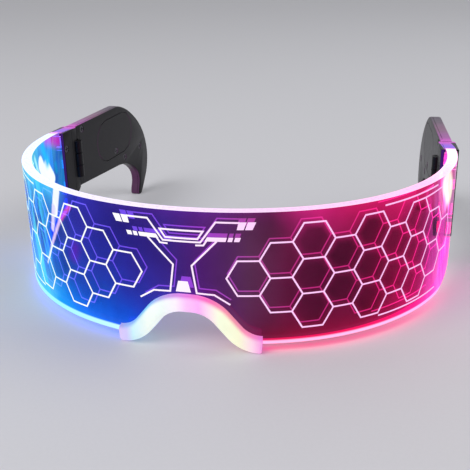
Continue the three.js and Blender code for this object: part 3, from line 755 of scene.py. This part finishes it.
# The nose pad: a soft silicone channel pushed on to the notch, which glows with the light of both sides
pad = {
    "notchDepth": 13.7,
    "notchFlat": 1.3,
    "crown": 12,
    "foot": 12,
    "slope": math.radians(51),
    "height": 5.98,
    "wall": 2.29,
    "gap": 0.3,
    "reach": 22.8,
    "rounding": 2.2,
    "lipRounding": 1.9,
    "roundSteps": 7,
    "lipSteps": 4,
    "mouthBevel": 0.25,  # at the channel's mouth and along its floor
    "floorBevel": 0.4,
    "endRounding": 0.5,
    "endCurve": [(0, 1.0), (0.12, 0.6), (0.45, 0.25), (1, 0)],  # shares of the rounding, along and inward
    "endPull": 0.7,
    "endClear": 1.2,
    "skin": 0.3,  # what lies nearer to the channel than this isn't rounded at the ends
    "standing": 0.02,
    "stations": 120,
    "lightReach": 24,
    "light": [(0.0, 222, 196, 240), (0.1, 206, 199, 248), (0.15, 203, 240, 250), (0.26, 244, 254, 246),
              (0.36, 240, 252, 248), (0.46, 248, 237, 252), (0.53, 252, 198, 250), (0.61, 252, 178, 248),
              (0.68, 250, 222, 236), (0.74, 245, 252, 222), (0.86, 248, 248, 214), (0.94, 250, 214, 232),
              (1.0, 246, 160, 226)],
    "sides": [(0.0, 176, 140, 214), (0.1, 150, 176, 236), (0.25, 120, 200, 240), (0.4, 190, 150, 226),
              (0.53, 226, 120, 220), (0.66, 250, 110, 190), (0.8, 246, 150, 170), (0.92, 248, 140, 186),
              (1.0, 226, 116, 205)],
    "lightFacing": (-0.55, -1.0),  # how much a face is in the light for looking down, and for looking ahead
    "lightEdge": (0.1, 0.95),
    "glow": 0.8,
    "silicone": {"IOR": 1.41, "Subsurface_Weight": 0.25, "Subsurface_Scale": 0.0015},
    "milk": (0.16, 3.0, 0.55),
    "milkTones": (0.24, 0.86),
    "grain": (2.4, 3.0, 0.6),
    "baseShare": 0.35,
    "roughness": (0.25, 0.33),
    "bump": (0.12, 0.00004),
}


def notchAt(distance):
    crownRun = pad["crown"] * math.sin(pad["slope"])
    footRun = pad["foot"] * math.sin(pad["slope"])
    drop = (pad["crown"] + pad["foot"]) * (1 - math.cos(pad["slope"]))
    slopeRun = (pad["notchDepth"] - drop) / math.tan(pad["slope"])
    left = pad["notchFlat"] + crownRun + slopeRun + footRun - distance
    if left <= 0:
        return 0, 0
    if left <= footRun:
        angle = math.asin(left / pad["foot"])
        return pad["foot"] * (1 - math.cos(angle)), -math.tan(angle)
    past = distance - pad["notchFlat"]
    if past <= 0:
        return pad["notchDepth"], 0
    if past <= crownRun:
        angle = math.asin(past / pad["crown"])
        return pad["notchDepth"] - pad["crown"] * (1 - math.cos(angle)), -math.tan(angle)
    rise = pad["foot"] * (1 - math.cos(pad["slope"])) + (left - footRun) * math.tan(pad["slope"])
    return rise, -math.tan(pad["slope"])


def padSection():
    gap, rounding, lip = pad["gap"], pad["rounding"], pad["lipRounding"]
    mouth, floor = pad["mouthBevel"], pad["floorBevel"]
    inside = sheet["thick"] + gap
    front, back = -gap - pad["wall"], inside + pad["wall"]
    low, high = -pad["height"] / 2, pad["height"] / 2
    points = []

    def arc(x, y, radius, start, steps):
        for i in range(steps + 1):
            angle = math.radians(start + 90 * i / steps)
            points.append((x + radius * math.cos(angle), y + radius * math.sin(angle)))

    arc(front + rounding, low + rounding, rounding, 180, pad["roundSteps"])
    arc(back - rounding, low + rounding, rounding, 270, pad["roundSteps"])
    arc(back - lip, high - lip, lip, 0, pad["lipSteps"])
    points += [(inside + mouth, high), (inside, high - mouth), (inside, floor - gap), (inside - floor, -gap)]
    points += [(floor - gap, -gap), (-gap, floor - gap), (-gap, high - mouth), (-gap - mouth, high)]
    arc(front + lip, high - lip, lip, 90, pad["lipSteps"])
    return points


def nosePad():
    section = padSection()
    count, reach, rounding = pad["stations"], pad["reach"], pad["endRounding"]
    middle = sheet["thick"] / 2
    stations = [2 * reach * i / count - reach for i in range(1, count)]
    near = [(-reach + share * rounding, inset) for share, inset in pad["endCurve"]]
    far = [(-s, inset) for s, inset in reversed(near)]
    rows = near + [(s, 0) for s in stations if abs(s) < reach - pad["endClear"] * rounding] + far
    places = []
    for s, inset in rows:
        rise, slope = notchAt(abs(s))
        slope *= math.copysign(1, s)
        length = math.hypot(1, slope)
        for depth, y in section:
            outside = abs(depth - middle) > middle + pad["gap"] + pad["skin"] or y < -pad["gap"]
            pull = inset * rounding * pad["endPull"] if outside else 0
            away = Vector((depth - middle, y)).normalized() * pull
            depth, y = depth - away.x, y - away.y
            x, back = planPoint(s - y * slope / length, depth)
            point = (fromSheet @ Vector((x, back, sheet["bottom"] + rise + y / length))) * mm
            point.z = max(point.z, pad["standing"] * mm)
            places.append(point)
    size = len(section)
    faces = [[i * size + (j + 1) % size, i * size + j, (i + 1) * size + j, (i + 1) * size + (j + 1) % size]
             for i in range(len(rows) - 1) for j in range(size)]
    faces += [list(range(size)), [(len(rows) - 1) * size + j for j in reversed(range(size))]]
    piece = newMesh("silicone_nose_pad", places, faces)
    piece.modifiers.new("smooth", "NODES").node_group = smoothGroup
    return piece


# The glow is painted by where a face looks: strongest in the lower half of the pad's front, and deeper in colour
# above and behind
def siliconeMaterial():
    material, tree, shader = startMaterial("glowing silicone", Emission_Strength=1.0, **pad["silicone"])
    at = sheetPlaces(tree)
    share = calc(tree, "MULTIPLY_ADD", calc(tree, "SUBTRACT", at["x"], sheet["patternMiddle"]),
                 0.5 / pad["lightReach"], 0.5, clamp=True)
    down, ahead = pad["lightFacing"]
    facing = calc(tree, "MULTIPLY_ADD", at["facing"][2], down, calc(tree, "MULTIPLY", at["facing"][1], ahead))
    light = mixed(tree, ease(tree, facing, *pad["lightEdge"]), ramp(tree, share, pad["sides"]),
                  ramp(tree, share, pad["light"]))
    milk = cloud(tree, at["vector"], *pad["milk"])
    grain = cloud(tree, at["vector"], *pad["grain"])
    light = scaled(tree, light, fitted(tree, milk, pad["milkTones"]))
    link(tree, scaled(tree, light, pad["glow"]), shader, "Emission Color")
    link(tree, scaled(tree, light, pad["baseShare"]), shader, "Base Color")
    link(tree, fitted(tree, grain, pad["roughness"]), shader, "Roughness")
    bump(tree, shader, grain, *pad["bump"])
    return material


nose = nosePad()
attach(nose, "front")
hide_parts("nose_pad")
paint([nose], siliconeMaterial())
print("nose pad done")


# The arms and clamps: black moulded plastic. The light from the visor's ends on their top edges is painted on as a
# glow
plastic = {
    "ior": 1.46,
    "specular": 0.22,
    "colour": tint(10, 9, 14),
    "worn": tint(34, 31, 42),
    "wear": (0.35, 4.0, 0.65),
    "wearEdge": (0.58, 0.8),
    "roughness": (0.16, 0.26),
    "grain": (5.0, 3.0, 0.6),
    "bump": (0.12, 0.00003),
    "paintedTopLight": [(0.0, 240, 100, 204), (0.09, 136, 90, 226), (0.2, 196, 70, 190), (0.32, 140, 66, 140),
             (0.5, 112, 68, 102), (0.75, 64, 48, 68), (1.0, 0, 0, 0)],
    "paintedTopLightRange": (80, 146),  # rearward places in the sheet's frame, as the other ends and starts here
    "paintedTopLightFacing": (0.35, 0.9),
    "paintedTopLightHeight": (16.0, 19.0),
    "paintedTopLightAside": 0.4,  # how far past the sheet's faces it spreads on the clamps
    "clampEnd": 92,
    # painted glow of the visor's light on the inside of the clamps' mouths
    "mouth": tint(54, 18, 100),
    "paintedMouthLightEnd": 84.5,
    "paintedMouthLightFacing": (-0.7, -0.95),
    "caught": tint(74, 40, 72),  # the visor's light on the front edges of the hooks
    "caughtStart": 106,
    "caughtFacing": (-0.35, -0.9),
}


def plasticMaterial():
    material, tree, shader = startMaterial("black moulded plastic", IOR=plastic["ior"], Emission_Strength=1.0,
                                           Specular_IOR_Level=plastic["specular"])
    at = sheetPlaces(tree)
    grain = cloud(tree, at["vector"], *plastic["grain"])
    wear = cloud(tree, at["vector"], *plastic["wear"])
    colour = mixed(tree, ease(tree, wear, *plastic["wearEdge"]), plastic["colour"], plastic["worn"])
    link(tree, colour, shader, "Base Color")
    link(tree, fitted(tree, wear, plastic["roughness"]), shader, "Roughness")
    bump(tree, shader, grain, *plastic["bump"])

    # Painted light: the visor's glow on the top edges over the sheet, inside the clamps' mouths and on the hooks'
    # front edges
    half = sheet["thick"] / 2
    fromSheetMiddle = calc(tree, "ABSOLUTE", calc(tree, "SUBTRACT", at["depth"], half))
    overSheet = calc(tree, "MAXIMUM", calc(tree, "LESS_THAN", fromSheetMiddle, half + plastic["paintedTopLightAside"]),
                     calc(tree, "GREATER_THAN", at["y"], plastic["clampEnd"]))
    paintedTopLightShare = product(tree, ease(tree, at["facing"][2], *plastic["paintedTopLightFacing"]),
                        ease(tree, at["z"], *plastic["paintedTopLightHeight"]), overSheet)
    rear = mapped(tree, at["y"], *plastic["paintedTopLightRange"])
    paintedTopLight = scaled(tree, ramp(tree, rear, plastic["paintedTopLight"], "EASE"), paintedTopLightShare)
    # the painted glow inside the clamps' mouths
    mouth = product(tree, ease(tree, at["facing"][1], *plastic["paintedMouthLightFacing"]),
                    calc(tree, "LESS_THAN", at["y"], plastic["paintedMouthLightEnd"]),
                    calc(tree, "GREATER_THAN", at["depth"], half))
    caught = product(tree, ease(tree, at["facing"][1], *plastic["caughtFacing"]),
                     calc(tree, "GREATER_THAN", at["y"], plastic["caughtStart"]))
    lit = vectorCalc(tree, "ADD", mixed(tree, mouth, paintedTopLight, plastic["mouth"]),
                     scaled(tree, plastic["caught"], caught))
    link(tree, lit, shader, "Emission Color")
    return material


paint(nodesIn("black_plastic"), plasticMaterial())
print("arms and clamps done")


# Screws, pins, cells and contacts: each kind's name, colour, least roughness, and how its fine lines stretch
metal = {
    "lines": (6.0, 3.0, 0.6),
    "lineTones": (0.35, 0.8),
    "lineRoughness": 0.2,
    "bump": (0.15, 0.00002),
    "kinds": {
        "screw_steel": ("black plated steel", (0.1, 0.095, 0.11), 0.26, (1, 1, 6)),
        "cell_steel": ("nickel plated cell", (0.72, 0.72, 0.74), 0.14, (1, 4, 1)),
        "contact_brass": ("sprung brass", (0.78, 0.58, 0.27), 0.2, (4, 1, 1)),
    },
}


def metalMaterial(name, colour, roughness, stretch):
    material, tree, shader = startMaterial(name, Metallic=1.0)
    at = sheetPlaces(tree)
    lines = cloud(tree, vectorCalc(tree, "MULTIPLY", at["vector"], stretch), *metal["lines"])
    link(tree, scaled(tree, colour, fitted(tree, lines, metal["lineTones"])), shader,
         "Base Color")
    link(tree, calc(tree, "MULTIPLY_ADD", lines, metal["lineRoughness"], roughness), shader, "Roughness")
    bump(tree, shader, lines, *metal["bump"])
    return material


for kind, settings in metal["kinds"].items():
    paint(nodesIn(kind), metalMaterial(*settings))


board = {
    "coat": {"Coat_Weight": 0.4, "Coat_Roughness": 0.2},
    "masks": (tint(8, 74, 46), tint(10, 84, 52)),
    "tracks": tint(26, 116, 70),
    "scale": 0.9,
    "trackWidth": 0.04,
    "roughness": (0.1, 0.38),
    "bump": (0.3, 0.00004),
}


def boardMaterial():
    material, tree, shader = startMaterial("solder mask", **board["coat"])
    at = sheetPlaces(tree)
    colours = [(*colour, 1) for colour in (*board["masks"], board["tracks"])]
    tracks = addNode(tree, "ShaderNodeTexBrick", Vector=at["vector"], Scale=board["scale"], Color1=colours[0],
                     Color2=colours[1], Mortar=colours[2], Mortar_Size=board["trackWidth"])
    link(tree, tracks.outputs["Color"], shader, "Base Color")
    link(tree, fitted(tree, tracks.outputs["Fac"], board["roughness"]), shader, "Roughness")
    bump(tree, shader, tracks.outputs["Fac"], *board["bump"])
    return material


# The lights: each kind's name, and its colour at the edges and in the bright spots
led = {
    "roughness": 0.35,
    "spots": 0.7,
    "spotEdge": (0.1, 0.7),
    "resin": ((0.8, 0.8, 0.75), (0.5, 0.5, 0.48)),
    "kinds": {
        "led_blue": ("blue light", tint(60, 150, 255), tint(200, 250, 255)),
        "led_pink": ("pink light", tint(255, 70, 190), tint(255, 225, 250)),
    },
}


def ledMaterial(name, edge, core):
    material, tree, shader = startMaterial(name, Roughness=led["roughness"], Emission_Strength=1.0)
    at = sheetPlaces(tree)
    spots = addNode(tree, "ShaderNodeTexVoronoi", Vector=at["vector"], Scale=led["spots"])
    near = ease(tree, spots.outputs["Distance"], *led["spotEdge"])
    link(tree, mixed(tree, near, core, edge), shader, "Emission Color")
    link(tree, mixed(tree, near, *led["resin"]), shader, "Base Color")
    return material


paint(nodesIn("circuit_board"), boardMaterial())
for kind, settings in led["kinds"].items():
    paint(nodesIn(kind), ledMaterial(*settings))
print("metal, boards and lights done")


# Floor, lamps, camera
studio = {
    "floor": tint(206, 206, 211),
    "floorSize": 8,
    "floorFinish": {"Roughness": 0.6, "IOR": 1.4},
    "floorGrain": (900.0, 2.0, 0.5),
    "floorTones": (0.04, 0.98),
    "backdrop": tint(214, 214, 219),
    "world": 0.5,
    "lampAim": (0, 0, 0.02),
    "lampSize": 0.9,
    "lamps": {"key": ((-0.55, -0.75, 1.0), 7.98), "fill": ((0.9, 0.3, 0.9), 4.08)},  # place and power
}


def studioFloor():
    size = studio["floorSize"]
    corners = [(-size, -size, 0), (size, -size, 0), (size, size, 0), (-size, size, 0)]
    floor = newMesh("table_top", corners, [(0, 1, 2, 3)])
    material, tree, shader = startMaterial("pale table", **studio["floorFinish"])
    coords = tree.nodes.new("ShaderNodeTexCoord")
    grain = cloud(tree, coords.outputs["Object"], *studio["floorGrain"])
    shade = fitted(tree, grain, studio["floorTones"])
    link(tree, scaled(tree, studio["floor"], shade), shader, "Base Color")
    paint([floor], material)


def lamp(name, place, power):
    data = bpy.data.lights.new(name, "AREA")
    data.shape = "DISK"
    data.size = studio["lampSize"]
    data.energy = power
    thing = newObject(name, data)
    thing.location = place
    aim = Vector(studio["lampAim"]) - Vector(place)
    thing.rotation_euler = aim.to_track_quat("-Z", "Y").to_euler()


def studioWorld():
    world = bpy.data.worlds.new("studio")
    bpy.context.scene.world = world
    world.use_nodes = True
    tree = world.node_tree
    tree.nodes.clear()
    rays = tree.nodes.new("ShaderNodeLightPath").outputs
    past = calc(tree, "ADD", rays["Is Glossy Ray"], rays["Is Transmission Ray"])
    seen = calc(tree, "ADD", rays["Is Camera Ray"], past, clamp=True)
    soft = addNode(tree, "ShaderNodeBackground", (1, 1, 1, 1), studio["world"])
    backdrop = addNode(tree, "ShaderNodeBackground", (*studio["backdrop"], 1), 1.0)
    both = addNode(tree, "ShaderNodeMixShader", seen, soft.outputs[0], backdrop.outputs[0])
    leave = tree.nodes.new("ShaderNodeOutputWorld")
    tree.links.new(both.outputs[0], leave.inputs["Surface"])


studioFloor()
studioWorld()
for name, settings in studio["lamps"].items():
    lamp(name, *settings)

# In the sheet's own frame
view = {
    "lens": 59.077,
    "place": (61.72, -202.55, 97.15),
    "target": (7.727, 33.0, 1.124),
    "roll": -0.97,
    "clip": (0.005, 50),
}
place, target = Vector(view["place"]), Vector(view["target"])
ahead = (target - place).normalized()
right = ahead.cross(Vector((0, 0, 1))).normalized()
upward = right.cross(ahead)
roll = math.radians(view["roll"])
axes = Matrix((right * math.cos(roll) + upward * math.sin(roll),
               upward * math.cos(roll) - right * math.sin(roll), -ahead)).transposed().to_4x4()
camera = newObject("camera", bpy.data.cameras.new("camera"))
camera.data.lens = view["lens"]
camera.data.clip_start, camera.data.clip_end = view["clip"]
turned = fromSheet.to_3x3().to_4x4() @ axes
camera.matrix_world = Matrix.Translation((fromSheet @ place) * mm) @ turned
bpy.context.scene.camera = camera
bpy.context.scene.view_settings.view_transform = "Standard"
print("studio done")
